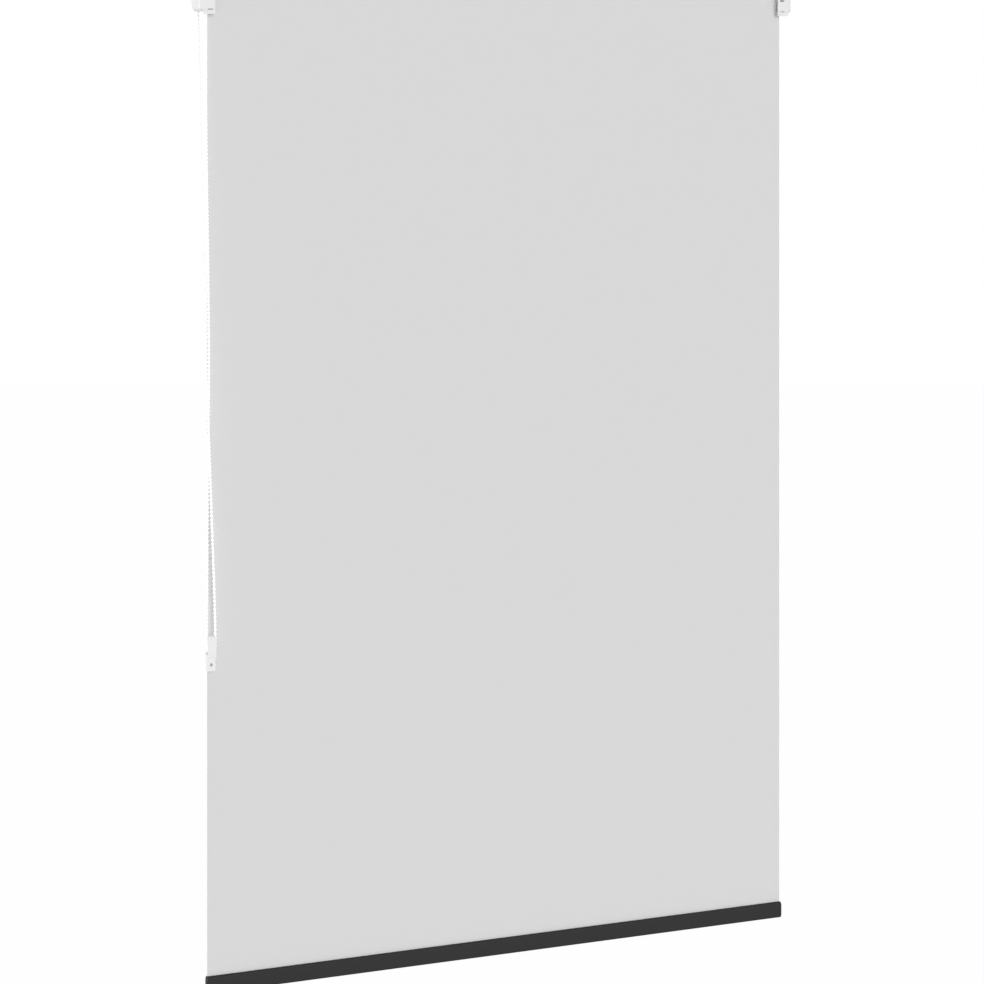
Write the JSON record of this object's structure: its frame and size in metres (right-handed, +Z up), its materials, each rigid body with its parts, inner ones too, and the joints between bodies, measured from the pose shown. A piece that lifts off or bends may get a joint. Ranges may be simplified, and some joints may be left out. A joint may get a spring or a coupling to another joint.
{
  "type": "roller blind",
  "caption": "Chain-operated blackout roller blind with covered end brackets, roller, flat fabric, bottom rail and a chain tensioner.",
  "frame": {"origin": "centre of the four wall screws, on the wall plane, midway between the two brackets", "axes": "+X along the roller from the chain side to the idle side, +Y into the wall, +Z up; the room is towards -Y"},
  "size_m": [0.998, 0.0584, 1.5],
  "materials": {
    "bracket_steel": "powder coated, white",
    "cover_plastic": "fine matt moulding, white",
    "tube_aluminium": "mill finish",
    "blind_fabric": "coated plain weave, light grey",
    "tape": "adhesive film",
    "rail_metal": "powder coated, dark grey",
    "rail_cap_plastic": "fine matt moulding, dark grey",
    "strip_plastic": "plain extrusion",
    "drive_plastic": "engineering plastic, white",
    "spring_steel": "drawn wire and turned steel",
    "tensioner_plastic": "smooth moulding, white",
    "chain_plastic": "moulded balls on a cord, white"
  },
  "bodies": {
    "brackets": {"drive_bracket": "bracket_steel", "idle_bracket": "bracket_steel", "drive_cover": "cover_plastic", "idle_cover": "cover_plastic", "hanging_fabric": "blind_fabric", "drive_core": "drive_plastic", "chain_guard": "drive_plastic", "idle_bush": "drive_plastic", "wrap_springs": "spring_steel", "core_screw": "spring_steel", "tensioner_axle": "spring_steel", "tensioner_back": "tensioner_plastic", "tensioner_front": "tensioner_plastic", "chain_over_wheel": "chain_plastic", "chain_in_tensioner": "chain_plastic", "chain_rear_strand": "chain_plastic", "chain_front_strand": "chain_plastic"},
    "tube": {"roller_tube": "tube_aluminium", "fabric_roll": "blind_fabric", "fabric_tape": "tape", "drive_sleeve": "drive_plastic", "idle_plug": "drive_plastic", "idle_spring": "spring_steel"},
    "chain_wheel": {"chain_wheel": "drive_plastic"},
    "idle_pin": {"idle_pin": "spring_steel"},
    "tensioner_pulley": {"tensioner_pulley": "tensioner_plastic"},
    "rail": {"bottom_rail": "rail_metal", "hem_strip": "strip_plastic", "rail_cap_left": "rail_cap_plastic", "rail_cap_right": "rail_cap_plastic"}
  },
  "joints": [
    {"name": "tube_spin", "type": "hinge", "parent": "brackets", "child": "tube", "pos_m": [0, -0.0232, -0.0095], "axis": [-1, 0, 0], "range_deg": [0, 5484]},
    {"name": "chain_wheel_spin", "type": "hinge", "parent": "brackets", "child": "chain_wheel", "pos_m": [-0.4879, -0.0232, -0.0095], "axis": [-1, 0, 0], "range_deg": [0, 5484]},
    {"name": "tensioner_pulley_spin", "type": "hinge", "parent": "brackets", "child": "tensioner_pulley", "pos_m": [-0.481, -0.0492, -0.9695], "axis": [0, 1, 0], "range_deg": [0, 12536]},
    {"name": "rail_slide", "type": "slide", "parent": "brackets", "child": "rail", "axis": [0, 0, 1], "range_m": [0, 1.4165], "deforming": ["hanging_fabric"]},
    {"name": "idle_pin_slide", "type": "slide", "parent": "tube", "child": "idle_pin", "axis": [-1, 0, 0], "range_m": [0, 0.005], "stiffness_N_per_m": 800, "deforming": ["idle_spring"]}
  ],
  "couplings": [
    {"joint": "tube_spin", "follows": "rail_slide", "rad_per_m": 67.568},
    {"joint": "chain_wheel_spin", "follows": "rail_slide", "rad_per_m": 67.568},
    {"joint": "tensioner_pulley_spin", "follows": "rail_slide", "rad_per_m": 154.44}
  ]
}
